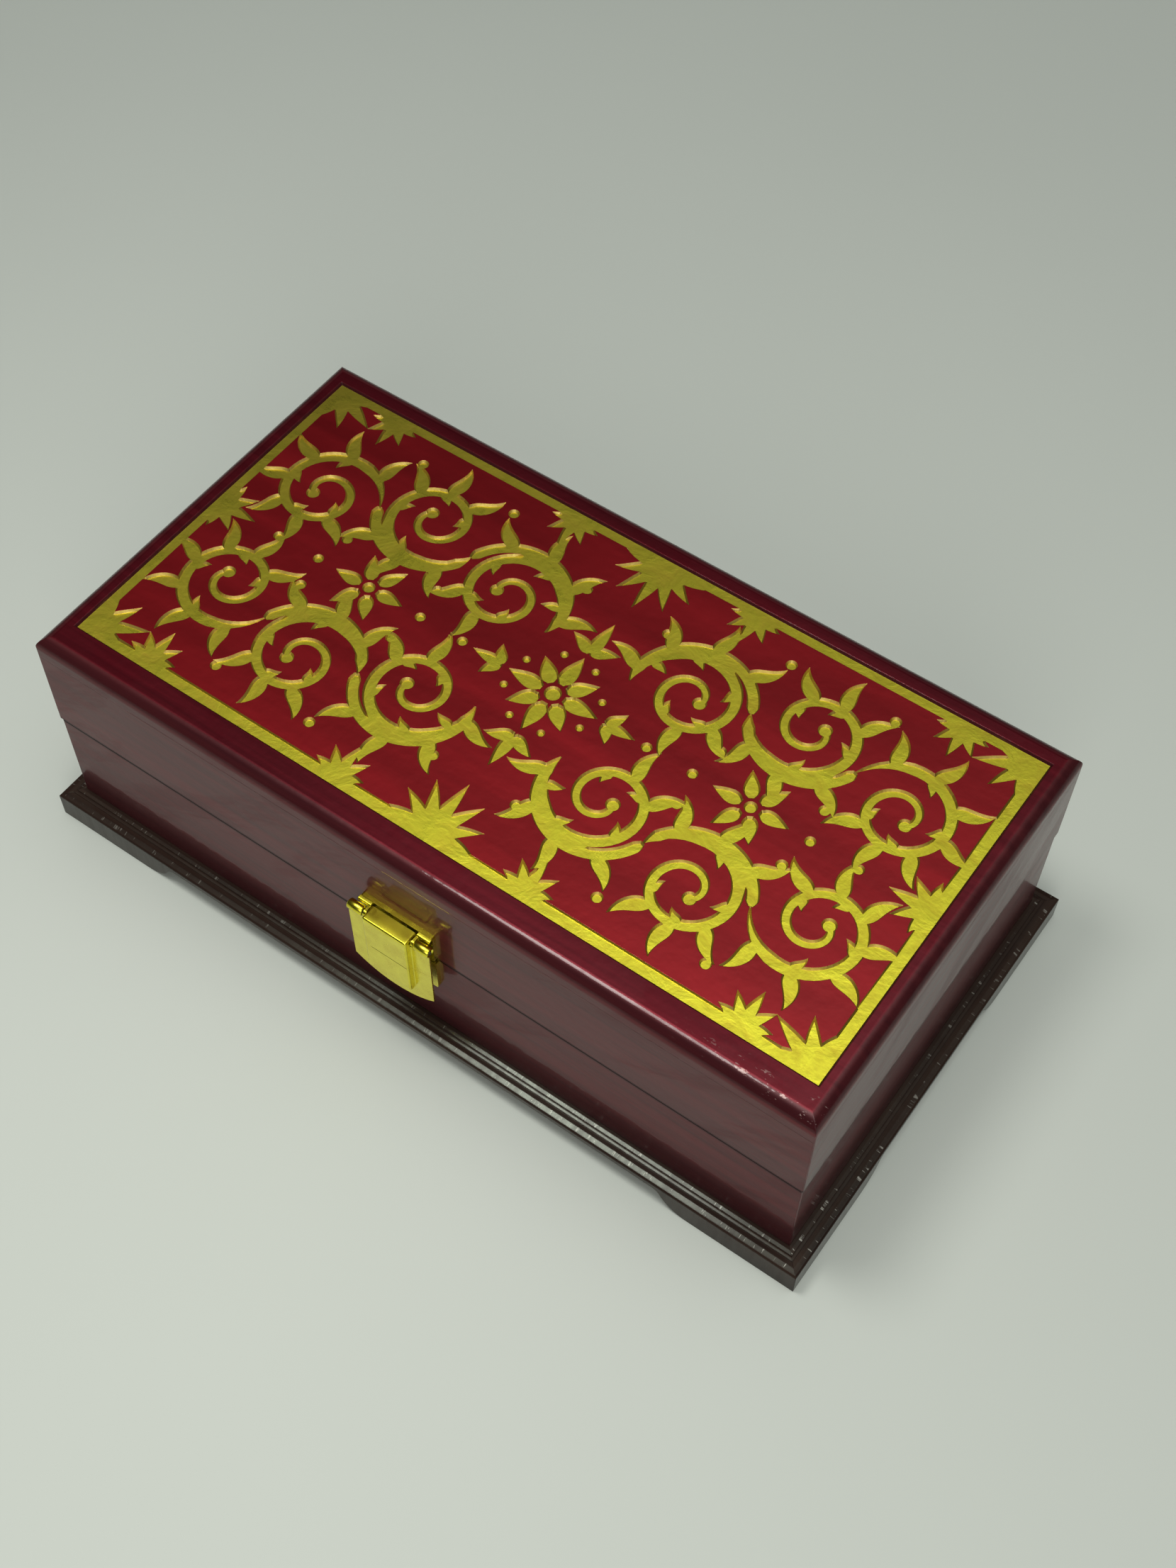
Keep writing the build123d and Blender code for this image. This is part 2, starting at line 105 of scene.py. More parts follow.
# Colours. A finish that is mottled goes from the first of a pair to the second.
wall_reds = ((0.078, 0.0145, 0.0175, 1), (0.130, 0.0225, 0.0260, 1))
top_reds = ((0.150, 0.0080, 0.0165, 1), (0.200, 0.0110, 0.0215, 1))
field_reds = ((0.31, 0.0065, 0.0110, 1), (0.39, 0.0090, 0.0150, 1))
# Painted shade on the lid's rounded edge, below its highlight.
rounding_painted_shade = (0.022, 0.004, 0.006, 1)
# Painted shade along the seam between lid and base.
seam_painted_shade = (0.020, 0.004, 0.006, 1)
# Painted shade low on the walls, next to the plinth.
foot_painted_shade = (0.026, 0.010, 0.012, 1)
scuffed = (0.52, 0.36, 0.33, 1)
plinth_browns = ((0.018, 0.010, 0.008, 1), (0.038, 0.022, 0.016, 1))
plinth_glint = (0.86, 1.0, 0.82, 1)
chipped = (0.42, 0.41, 0.36, 1)
gilt_golds = ((0.62, 0.50, 0.035, 1), (1.0, 0.94, 0.060, 1))
# Painted shade: the gilt's colour where it is seen from a low angle.
gilt_shaded_aslant = (0.40, 0.29, 0.050, 1)
cut_golds = ((0.62, 0.45, 0.10, 1), (0.90, 0.72, 0.22, 1))
latch_golds = ((0.86, 0.78, 0.058, 1), (0.70, 0.59, 0.045, 1))
hinge_golds = ((0.78, 0.60, 0.26, 1), (0.52, 0.38, 0.15, 1))
screw_golds = ((0.74, 0.56, 0.24, 1), (0.46, 0.33, 0.13, 1))
spring_golds = ((0.85, 0.58, 0.24, 1), (0.60, 0.38, 0.14, 1))
steel_greys = ((0.42, 0.42, 0.41, 1), (0.62, 0.61, 0.59, 1))
wood_browns = ((0.27, 0.125, 0.055, 1), (0.46, 0.26, 0.13, 1))
wood_pores = (0.12, 0.05, 0.025, 1)
velvet_reds = ((0.075, 0.004, 0.008, 1), (0.16, 0.010, 0.018, 1))
velvet_sheen = (0.85, 0.30, 0.30, 1)
floor_greys = ((0.555, 0.595, 0.545, 1), (0.60, 0.64, 0.59, 1))
sky_colour = (0.98, 1.0, 0.97, 1)
lamp_colour = (1.0, 0.98, 0.94)

# The lining's soft face, in metres.
pad_crown = 0.9 * mm
board_crown = 0.3 * mm
pad_roll = 1.1 * mm
pad_pull = 0.25 * mm

# The latch, in millimetres: across from its own middle, out from the lid's front, and up.
flap_low, flap_high = corners("latch_flap")
latch_pivot = pivot("latch_hinge")
lid_front = -corners("lid_rail_front")[0, 1]
latch_middle = latch_pivot[0]
flap_half = (flap_high[0] - flap_low[0]) / 2
flap_middle_low = flap_low[2]
flap_corner_low = 33.0
flap_thickness = 0.5
panel_out = -flap_low[1] - lid_front
panel_rise = 2.0
panel_half = 7.6
panel_low = 35.3
panel_rows = (41.0, 52.0)
panel_columns = (0.0, 2.6)
sheet_column = 8.1
ear_columns = (9.2, 11.5)
shelf_rows = (4.6, 3.2)
panel_rounding = 0.55
panel_fillet = 0.3
shelf_rounding = 0.6
wall_draft = 0.03
notch_level = 57.0
ear_start = 8.9
ear_radius = 1.6
ear_end_radius = 1.3
ear_turn = 270
ear_first_share = 0.8
pivot_out = -latch_pivot[1] - lid_front
pivot_level = latch_pivot[2]
shelf_level = flap_high[2]
shelf_back = -flap_high[1] - lid_front
shelf_low = 58.2
smallest_bend = 0.05
plate_out = 1.4
tab_start = 7.9
tab_end = 12.4
tab_out = 2.7
tab_rounding = 0.55
tab_drop = 0.4
tab_thickness = 0.5
crease_level = 46.9
crease_start = -5.6
crease_depth = 0.16


def mesh_piece(name, points, faces, body, finishes, finish_of=None, smooth=False):
    """A piece from its points and faces, with its finishes in order and the finish of each face."""
    mesh = bpy.data.meshes.new(name)
    mesh.from_pydata(points.tolist(), [], [list(face) for face in faces])
    mesh.update()
    for finish in finishes:
        mesh.materials.append(finish)
    if finish_of is not None:
        mesh.polygons.foreach_set("material_index", np.asarray(finish_of, np.int32))
    mesh.polygons.foreach_set("use_smooth", np.full(len(mesh.polygons), smooth))
    piece = bpy.data.objects.new(name, mesh)
    bpy.context.scene.collection.objects.link(piece)
    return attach(piece, body)


# Shader building blocks


def node(tree, kind, settings=None, **values):
    """One shader node. A value is a number, a colour or another node's output, and a value called i2 goes to
    the socket numbered 2."""
    made = tree.nodes.new(kind)
    for name, value in (settings or {}).items():
        setattr(made, name, value)
    for name, value in values.items():
        numbered = name[0] == "i" and name[1:].isdigit()
        socket = made.inputs[int(name[1:]) if numbered else name.replace("_", " ")]
        if isinstance(value, bpy.types.NodeSocket):
            tree.links.new(value, socket)
        else:
            socket.default_value = value
    return made


def place(tree, scale=(1, 1, 1), turn=(0, 0, 0)):
    """Object coordinates in metres, stretched and turned."""
    spot = node(tree, "ShaderNodeTexCoord").outputs["Object"]
    return node(tree, "ShaderNodeMapping", Vector=spot, Scale=scale, Rotation=turn).outputs["Vector"]


def noise(tree, vector, scale, detail=3.0, roughness=0.5, distortion=0.0):
    """Cloudy noise from 0 to 1, with scale in cells to the metre."""
    return node(tree, "ShaderNodeTexNoise", Vector=vector, Scale=scale, Detail=detail, Roughness=roughness,
                Distortion=distortion).outputs["Fac"]


def between(tree, value, low, high, new_low=0.0, new_high=1.0):
    """The value carried from the range low to high into a new range, and kept inside it."""
    made = node(tree, "ShaderNodeMapRange", i0=value, i1=low, i2=high, i3=new_low, i4=new_high)
    return made.outputs["Result"]


def blend(tree, share, first, second):
    """One colour over another by a share from 0 to 1."""
    made = node(tree, "ShaderNodeMix", {"data_type": "RGBA"}, i0=share, i6=first, i7=second)
    return made.outputs[2]


def mottle(tree, value, low, high, colours):
    """From the first colour to the second as a value goes from low to high."""
    return blend(tree, between(tree, value, low, high), *colours)


def sums(tree, way, first, second=0.0):
    """Plain arithmetic on two values, or on one."""
    return node(tree, "ShaderNodeMath", {"operation": way}, i0=first, i1=second).outputs[0]


def product(tree, first, *others):
    """The values multiplied together."""
    for other in others:
        first = sums(tree, "MULTIPLY", first, other)
    return first


def band(tree, value, middle, half):
    """One in a band about a middle value, falling to nothing at its half width."""
    away = sums(tree, "ABSOLUTE", sums(tree, "SUBTRACT", value, middle))
    return between(tree, away, 0.6 * half, half, 1.0, 0.0)


def relief(tree, height, strength, depth, under=None):
    """A bumped surface from a height."""
    values = dict(Strength=strength, Distance=depth, Height=height)
    if under is not None:
        values["Normal"] = under
    return node(tree, "ShaderNodeBump", **values).outputs["Normal"]


def eased(tree, radius):
    """Arrises eased by a small radius."""
    return node(tree, "ShaderNodeBevel", {"samples": 4}, Radius=radius).outputs["Normal"]


def rippled(tree, arris):
    """The faint ripples of sprayed lacquer, over eased arrises."""
    ripples = noise(tree, place(tree), ripple_cells, 2.0, 0.5)
    return relief(tree, ripples, 0.05, ripple_depth, eased(tree, arris))


def painted_shade_from_side(tree, share, colour, grazed):
    """The colour, falling to a dimmer one as the surface is seen more from the side. This is painted shade,
    in place of a dimmer reflection at a low angle.
    """
    turned = node(tree, "ShaderNodeLayerWeight", Blend=0.5).outputs["Facing"]
    return blend(tree, between(tree, turned, 0.17, 0.36, 0.0, share), colour, grazed)


def finish(name, **values):
    """A material whose shader has these values on its own sockets, with its tree and shader."""
    material = bpy.data.materials.new(name)
    material.use_nodes = True
    tree = material.node_tree
    shader = tree.nodes["Principled BSDF"]
    for key, value in values.items():
        shader.inputs[key.replace("_", " ")].default_value = value
    return material, tree, shader


def join(tree, output, shader, name):
    """Joins an output to one of the shader's sockets."""
    tree.links.new(output, shader.inputs[name])


# Finishes


def figure(tree, turn, cell):
    """The wood's figure under the lacquer: long slanting streaks with ragged, speckled edges, from 0 to 1."""
    spot = node(tree, "ShaderNodeTexCoord").outputs["Object"]
    settings = {"vector_type": "TEXTURE"}
    slant = node(tree, "ShaderNodeMapping", settings, Vector=spot, Rotation=turn, Scale=cell).outputs[0]
    sweep = noise(tree, slant, 1.0, 3.0, 0.55, 0.5)
    speckle = noise(tree, slant, 13.0, 3.0, 0.7)
    ragged = sums(tree, "ADD", product(tree, sweep, 0.78), product(tree, speckle, 0.22))
    return between(tree, ragged, 0.51, 0.58)


def lacquer_finish(name, grain_scale, slant, gloss, dulled=0.0):
    """Red gloss lacquer over figured wood: a clear coat on a deep red that glows on the lid's level top. It
    has painted shade along the seam, on the lid's rounded edge and at the walls' foot, and is scuffed near
    the front right corner. It loses the dulled share of its gloss towards the right end."""
    material, tree, shader = finish(name, Coat_Roughness=0.05, Coat_IOR=1.4, Specular_IOR_Level=0.05)
    spot = node(tree, "ShaderNodeSeparateXYZ", Vector=place(tree)).outputs
    right, height = spot["X"], spot["Z"]
    waves = noise(tree, place(tree, grain_scale), 1.0, 6.0, 0.62, 0.35)
    streaks = figure(tree, *slant)
    level = between(tree, height, *top_levels)
    near = product(tree, between(tree, right, *scuff_right), between(tree, spot["Y"], *scuff_front))
    scraped = between(tree, noise(tree, place(tree, (220.0, 500.0, 500.0)), 1.0, 3.0, 0.7), 0.60, 0.64)
    scuffs = product(tree, near, scraped, between(tree, height, *scuff_levels))
    seam = band(tree, height, seam_level, shade_half)
    rounding = band(tree, height, rounding_level, shade_half)

    share = between(tree, waves, 0.34, 0.66)
    body = blend(tree, level, blend(tree, share, *wall_reds), blend(tree, share, *top_reds))
    # Painted shade: the lid's rounded edge darkened below its highlight.
    body = blend(tree, product(tree, rounding, 0.6), body, rounding_painted_shade)
    # Painted shade: a dark line along the seam.
    body = blend(tree, product(tree, seam, 0.85), body, seam_painted_shade)
    # Painted shade: the walls darkened towards their foot, next to the plinth.
    body = blend(tree, between(tree, height, *foot_levels, 0.6, 0.0), body, foot_painted_shade)
    join(tree, blend(tree, product(tree, scuffs, 0.8), body, scuffed), shader, "Base Color")
    join(tree, between(tree, level, 0.0, 1.0, 0.2, 0.85), shader, "Metallic")
    join(tree, between(tree, waves, 0.3, 0.7, 0.29, 0.36), shader, "Roughness")

    figured = between(tree, streaks, 0.0, 1.0, gloss, 0.66 * gloss)
    shine = product(tree, figured, between(tree, seam, 0.0, 1.0, 1.0, 0.45))
    polish = between(tree, height, *polish_levels, 1.0, 1.85)
    if dulled:
        polish = product(tree, polish, between(tree, right, *dulled_right, 1.0, 1.0 - dulled))
    join(tree, product(tree, shine, polish), shader, "Coat Weight")
    skin = rippled(tree, lacquer_arris)
    join(tree, relief(tree, waves, 0.08, 0.4 * mm, skin), shader, "Normal")
    join(tree, skin, shader, "Coat Normal")
    return material


def field_finish(name):
    """Vivid red gloss paint of the field, brushed along the lid."""
    material, tree, shader = finish(name, Metallic=0.85, Coat_Weight=0.8, Coat_Roughness=0.05, Coat_IOR=1.4)
    strokes = noise(tree, place(tree, (7.0, 60.0, 60.0)), 1.0, 5.0, 0.6, 0.35)
    join(tree, mottle(tree, strokes, 0.34, 0.66, field_reds), shader, "Base Color")
    join(tree, between(tree, strokes, 0.3, 0.7, 0.29, 0.36), shader, "Roughness")
    skin = rippled(tree, field_arris)
    join(tree, skin, shader, "Normal")
    join(tree, skin, shader, "Coat Normal")
    return material


def plinth_finish(name, grain_scale, across, outward):
    """Brown-black lacquer, rubbed in fine lines across its steps and chipped along its arrises near the front
    right corner, where its gloss is worn. Its side looks outward along X or Y, 0 or 1."""
    material, tree, shader = finish(name, Coat_Weight=0.12, Coat_Roughness=0.12, Specular_Tint=plinth_glint)
    waves = noise(tree, place(tree, grain_scale), 1.0, 6.0, 0.62, 0.35)
    streaks = noise(tree, place(tree, across), 1.0, 3.0, 0.6)
    spot = node(tree, "ShaderNodeSeparateXYZ", Vector=place(tree)).outputs
    reach = sums(tree, "SUBTRACT", sums(tree, "ABSOLUTE", spot[outward]), wall_half[outward])
    noses = sums(tree, "MAXIMUM", band(tree, reach, *upper_nose), band(tree, reach, *lower_nose))
    right, front = spot[0], spot[1]
    corner = between(tree, right, *chipped_right, 0.25, 1.0)
    corner = product(tree, corner, between(tree, front, *chipped_front, 0.4, 1.0))
    chips = between(tree, noise(tree, place(tree, tuple(2.2 * s for s in across)), 1.0, 3.0, 0.7), 0.60, 0.66)
    worn = product(tree, chips, noses, corner)
    join(tree, blend(tree, worn, mottle(tree, waves, 0.3, 0.7, plinth_browns), chipped), shader, "Base Color")
    rubbed = between(tree, streaks, 0.35, 0.65, 0.38, 0.22)
    gloss = product(tree, rubbed, between(tree, reach, *square_face, 1.0, 0.7))
    gloss = product(tree, gloss, between(tree, right, *rubbed_right, 1.0, 0.35))
    gloss = product(tree, gloss, between(tree, right, *glossy_right, 0.65, 1.0))
    join(tree, gloss, shader, "Specular IOR Level")
    join(tree, between(tree, waves, 0.3, 0.7, 0.17, 0.24), shader, "Roughness")
    height = sums(tree, "SUBTRACT", streaks, product(tree, worn, 0.8))
    join(tree, relief(tree, height, 0.03, 0.6 * mm, eased(tree, plinth_arris)), shader, "Normal")
    return material


def gilt_finish(name, golds, rough, cells=110.0):
    """Gold paint laid by hand: mottled from olive to bright yellow, with a brushed unevenness."""
    material, tree, shader = finish(name, Metallic=0.92)
    patches = noise(tree, place(tree), cells, 5.0, 0.62, 0.4)
    strokes = noise(tree, place(tree, (1.0, 3.2, 1.0), (0, 0, 0.6)), 420.0, 3.0, 0.6)
    share = sums(tree, "ADD", product(tree, patches, 0.7), product(tree, strokes, 0.3))
    colour = mottle(tree, share, 0.33, 0.58, golds)
    # Painted shade: the gold darkens where it is seen from a low angle.
    join(tree, painted_shade_from_side(tree, 0.9, colour, gilt_shaded_aslant), shader, "Base Color")
    join(tree, between(tree, share, 0.35, 0.65, rough + 0.14, rough), shader, "Roughness")
    join(tree, relief(tree, patches, 0.3, 0.6 * mm), shader, "Normal")
    return material


def brass_finish(name, golds, rough, scratch, arris=brass_arris):
    """Pressed and plated brass: bright, with faint draw lines and a little tarnish. Its edges are eased where
    an arris is given."""
    material, tree, shader = finish(name, Metallic=1.0)
    smudge = noise(tree, place(tree), 190.0, 4.0, 0.6, 0.3)
    lines = noise(tree, place(tree, (0.25, 1.0, 1.0)), 2600.0, 2.0, 0.5)
    join(tree, mottle(tree, smudge, 0.35, 0.75, golds), shader, "Base Color")
    join(tree, between(tree, smudge, 0.3, 0.7, rough, rough + 0.10), shader, "Roughness")
    under = eased(tree, arris) if arris else None
    join(tree, relief(tree, lines, scratch, 0.2 * mm, under), shader, "Normal")
    return material


def steel_finish(name):
    """Turned steel pin stock with fine rings."""
    material, tree, shader = finish(name, Metallic=1.0)
    rings = noise(tree, place(tree, (4.0, 1.0, 1.0)), 1500.0, 2.0, 0.5)
    join(tree, blend(tree, rings, *steel_greys), shader, "Base Color")
    join(tree, between(tree, rings, 0.3, 0.7, 0.22, 0.36), shader, "Roughness")
    join(tree, relief(tree, rings, 0.08, 0.2 * mm), shader, "Normal")
    return material


def wood_finish(name, grain_scale):
    """Bare planed wood, pale red-brown, with growth lines and open pores along the board."""
    material, tree, shader = finish(name)
    waves = noise(tree, place(tree, grain_scale), 1.0, 7.0, 0.6, 0.5)
    pores = noise(tree, place(tree, tuple(4.0 * s for s in grain_scale)), 1.0, 3.0, 0.6)
    colour = mottle(tree, waves, 0.32, 0.68, wood_browns)
    colour = blend(tree, between(tree, pores, 0.60, 0.72, 0.0, 0.55), colour, wood_pores)
    join(tree, colour, shader, "Base Color")
    join(tree, between(tree, waves, 0.3, 0.7, 0.55, 0.72), shader, "Roughness")
    join(tree, relief(tree, pores, 0.25, 0.4 * mm), shader, "Normal")
    return material


def velvet_finish(name):
    """Short-pile velvet: a dark red with a pale sheen and a brushed, crushed nap."""
    material, tree, shader = finish(name, Sheen_Weight=0.9, Sheen_Roughness=0.35, Sheen_Tint=velvet_sheen)
    nap = noise(tree, place(tree), 60.0, 4.0, 0.6, 0.8)
    pile = noise(tree, place(tree), 3200.0, 2.0, 0.6)
    join(tree, mottle(tree, nap, 0.3, 0.7, velvet_reds), shader, "Base Color")
    join(tree, between(tree, pile, 0.3, 0.7, 0.80, 1.0), shader, "Roughness")
    join(tree, relief(tree, pile, 0.6, 0.3 * mm, relief(tree, nap, 0.35, 1.5 * mm)), shader, "Normal")
    return material


# The grain's stretch and the figure's turn and size, on pieces that run along X and along Y.
grain_x = (9.0, 260.0, 260.0)
grain_y = (260.0, 9.0, 260.0)
slant_x = ((0.0, -0.6, 0.0), (80 * mm, 40 * mm, 14 * mm))
slant_y = ((0.6, 0.0, 0.0), (40 * mm, 80 * mm, 14 * mm))
lid_x = lacquer_finish("lid_lacquer_along", grain_x, slant_x, 0.40)
lid_y = lacquer_finish("lid_lacquer_across", grain_y, slant_y, 0.46)
base_x = lacquer_finish("base_lacquer_along", grain_x, slant_x, 0.36, 0.45)
base_y = lacquer_finish("base_lacquer_across", grain_y, slant_y, 0.38)
field_red = field_finish("field_lacquer")
plinth_x = plinth_finish("plinth_along", grain_x, (420.0, 60.0, 60.0), 1)
plinth_y = plinth_finish("plinth_across", grain_y, (60.0, 420.0, 60.0), 0)
gilt = gilt_finish("gilt", gilt_golds, 0.25)
gilt_edge = gilt_finish("gilt_edge", cut_golds, 0.42, 300.0)
latch_brass = brass_finish("latch_brass", latch_golds, 0.20, 0.015, None)
hinge_brass = brass_finish("hinge_brass", hinge_golds, 0.22, 0.12)
screw_brass = brass_finish("screw_brass", screw_golds, 0.26, 0.18)
spring_brass = brass_finish("spring_brass", spring_golds, 0.20, 0.10)
steel = steel_finish("steel")
bare_wood = wood_finish("bare_wood", (9.0, 180.0, 180.0))
velvet = velvet_finish("velvet")


# The ornament of the field: a vine scroll in four mirrored quarters, in millimetres


def ribbon(path, half):
    """The outline of a stroke: its path, moved to the right by the half width and back on the left."""
    along = np.gradient(path, axis=0)
    left = np.stack([-along[:, 1], along[:, 0]], 1) / np.linalg.norm(along, axis=1)[:, None]
    side = left * half[:, None]
    return np.concatenate([path - side, (path + side)[::-1]])


def polar(centre, radius, degrees):
    """The points at these radii and angles from a centre."""
    angle = np.radians(degrees)
    return np.array(centre) + np.stack([np.cos(angle), np.sin(angle)], -1) * np.asarray(radius)[..., None]


def stem(centre, start, sweep, first_radius, last_radius, first_half, last_half):
    """A vine stem: a spiral whose radius and half width change steadily along it, with pointed ends."""
    t = np.linspace(0, 1, 72)
    path = polar(centre, first_radius + (last_radius - first_radius) * t ** coil_ease, start + sweep * t)
    half = first_half + (last_half - first_half) * t
    return ribbon(path, half * np.clip(t * 9 + 0.12, 0, 1) * np.clip((1 - t) * 16 + 0.4, 0, 1))


def leaf(foot, heading, length, half, bend=0.0):
    """A leaf: its path turns evenly by bend, and its width is a sine of the way along it, fullest near its
    foot."""
    t = np.linspace(0, 1, 24)
    angle = np.radians(heading + bend * t)
    step = np.stack([np.cos(angle), np.sin(angle)], 1) * length / (len(t) - 1)
    path = np.array(foot) + np.cumsum(step, 0) - step[0]
    return ribbon(path, np.maximum(half * np.sin(np.pi * np.clip(t, 0.03, 0.985) ** 0.62) ** 0.9, 0.06))


def berry(centre, radius):
    """A round berry."""
    return polar(centre, np.full(20, radius), np.linspace(0, 360, 20, endpoint=False))


def palmette(foot, heading, spread, count, length, half, curl):
    """A fan of leaves from one foot, the middle one longest."""
    turns = np.linspace(-1, 1, count)
    return [leaf(foot, heading + spread * k, length * (1 - 0.28 * abs(k)), half, curl * k) for k in turns]


# The coils: radii, turn and first entry in degrees, centres in the quarter, and where leaves grow, in degrees
# along the stem.
coil_outer = 17.6
coil_inner = 3.4
coil_turn = 560.0
coil_ease = 0.9
coil_centres = [(31.5, 21.0), (65.2, 31.2), (98.9, 21.0)]
first_entry = 196.0
outer_leaves = [(14, 52, 92, 132, 215, 262), (30, 68, 106, 190, 232, 275), (34, 76, 118, 160, 202, 244, 288)]
inner_leaves = (75, 150, 225, 300)

# The coils' strokes: half widths of a stem at its two ends and of a link, the berry at the end, and leaves.
# A leaf's way is its heading off the stem and its bend, in degrees. Leaves get shorter along the stem: the
# outer ones past one turn, and the inner ones by the turn over a number.
stem_halves = (2.1, 1.1)
link_half = 1.85
coil_berry = 2.1
leaf_gap = 0.4
outer_lengths = (12.5, 9.5)
outer_shrink_turn = 300
outer_slimness = 0.19
outer_way = (58, -66)
inner_length = 6.8
inner_shrink = 200
inner_half = 1.45
inner_way = (60, 55)

# A quarter's palmettes: foot, heading, spread, leaves, longest leaf, half width and curl.
quarter_palmettes = [
    ((120.6, 56.3), 205.5, 52, 5, 17.5, 2.3, 26),
    ((31.5, 57.0), 270, 58, 5, 12.0, 1.9, 26),
    ((98.9, 57.0), 270, 58, 5, 12.0, 1.9, 26),
    ((15.5, 25.5), 35, 34, 2, 9.0, 1.6, 30),
]
quarter_berries = [(14.0, 36.0), (48.3, 47.0), (82.1, 47.0), (48.6, 10.6), (81.8, 10.6)]
quarter_berry = 1.7

# The palmettes of one half of the centre lines, which the other half repeats turned about the middle.
axis_palmettes = [
    ((0, 57.5), -90, 66, 7, 19.5, 2.3, 30),
    ((0, 17.4), 90, 52, 3, 12.5, 2.1, 24),
    ((121.5, 0), 180, 60, 5, 13.5, 2.1, 28),
    ((17.6, 0), 0, 44, 3, 10.0, 1.9, 26),
]

# The rosette and the flowers: the heart, how far out a petal starts, and its length and half width. Every
# other petal of the rosette is shorter, and small berries stand between them.
rosette_heart = 2.5
rosette_foot = 3.7
rosette_petal = (11.4, 2.6)
rosette_shorter = 1.8
rosette_berries = (14.0, 1.2)
flower_place = 65.2
flower_heart = 1.9
flower_foot = 2.9
flower_petal = (9.2, 2.3)
axis_berries = (31.5, 46.5, 83.9, 98.9)
axis_berry = 1.6


def coil(centre, entry, sense, way, outside):
    """One coil of the vine from its entry angle: stem, berry, the link to the next coil, and leaves."""
    def radius(turned):
        return coil_outer + (coil_inner - coil_outer) * (turned / coil_turn) ** coil_ease

    shapes = [stem(centre, entry, sense * coil_turn, coil_outer, coil_inner, *stem_halves)]
    shapes.append(berry(polar(centre, np.array(coil_inner), entry + sense * coil_turn), coil_berry))
    if way:
        shapes.append(stem(centre, entry, sense * way, coil_outer, coil_outer, link_half, link_half))
    off, bend = outer_way
    for turned in outside:
        at = entry + sense * turned
        out = coil_outer if turned <= way else radius(turned)
        length = outer_lengths[0] if turned < outer_shrink_turn else outer_lengths[1]
        foot = polar(centre, np.array(out + leaf_gap), at)
        shapes.append(leaf(foot, at + sense * off, length, outer_slimness * length, sense * bend))
    off, bend = inner_way
    for turned in inner_leaves:
        at = entry + sense * turned
        foot = polar(centre, np.array(radius(turned) - leaf_gap), at)
        length = inner_length - turned / inner_shrink
        shapes.append(leaf(foot, at + 180 - sense * off, length, inner_half, sense * bend))
    return shapes


def quarter_shapes():
    """The shapes of one quarter: three linked coils, palmettes on the band and single berries."""
    steps = np.diff(coil_centres, axis=0)
    first, second = np.degrees(np.arctan2(steps[:, 1], steps[:, 0])).tolist()
    shapes = coil(coil_centres[0], first_entry, -1, (first_entry - first) % 360, outer_leaves[0])
    shapes += coil(coil_centres[1], first + 180, 1, (second - first - 180) % 360, outer_leaves[1])
    shapes += coil(coil_centres[2], second + 180, -1, 0, outer_leaves[2])
    for fan in quarter_palmettes:
        shapes += palmette(*fan)
    return shapes + [berry(spot, quarter_berry) for spot in quarter_berries]


def axis_shapes():
    """The shapes on the centre lines: the middle rosette of eight petals, palmettes and six-petal flowers."""
    centre = (0, 0)
    length, half = rosette_petal
    ring, small = rosette_berries
    shapes = [berry(centre, rosette_heart)]
    for k in range(8):
        at = 45.0 * k
        foot = polar(centre, np.array(rosette_foot), at)
        shapes.append(leaf(foot, at, length - rosette_shorter * (k % 2), half))
        shapes.append(berry(polar(centre, np.array(ring), at + 22.5), small))
    for side in (-1, 1):
        for fan in axis_palmettes:
            shapes += [shape * side for shape in palmette(*fan)]
        heart = (side * flower_place, 0)
        for at in 60.0 * np.arange(6):
            shapes.append(leaf(polar(heart, np.array(flower_foot), at), at, *flower_petal))
        shapes.append(berry(heart, flower_heart))
        shapes += [berry((side * x, 0), axis_berry) for x in axis_berries]
    return shapes


def ornament():
    """Every shape of the ornament, the quarter's mirrored into the other three."""
    shapes = axis_shapes()
    for shape in quarter_shapes():
        shapes += [shape * flip for flip in ((1, 1), (-1, 1), (1, -1), (-1, -1))]
    return shapes


# Pieces


def anticlockwise(loop):
    """The loop in the order that has its inside on the left."""
    x, y = loop.T
    area = np.sum(x * np.roll(y, -1) - y * np.roll(x, -1))
    return loop if area > 0 else loop[::-1]


def cut_field(shapes):
    """The field panel's top with the ornament's shapes cut out of it: its points and its triangles."""
    half = field_half / mm
    rim = np.array([(-1, -1), (1, -1), (1, 1), (-1, 1)]) * half
    loops = [rim] + [anticlockwise(shape) for shape in shapes]
    ends = np.cumsum([len(loop) for loop in loops])
    faces = [list(range(end - len(loop), end)) for loop, end in zip(loops, ends)]
    flat = [Vector(spot) for spot in np.concatenate(loops).tolist()]
    points, _, triangles, _, _, owners = geometry.delaunay_2d_cdt(flat, [], faces, 1, 1e-5, True)
    kept = [triangle for triangle, owner in zip(triangles, owners) if owner == [0]]
    return np.array([tuple(point) for point in points]), np.array(kept)


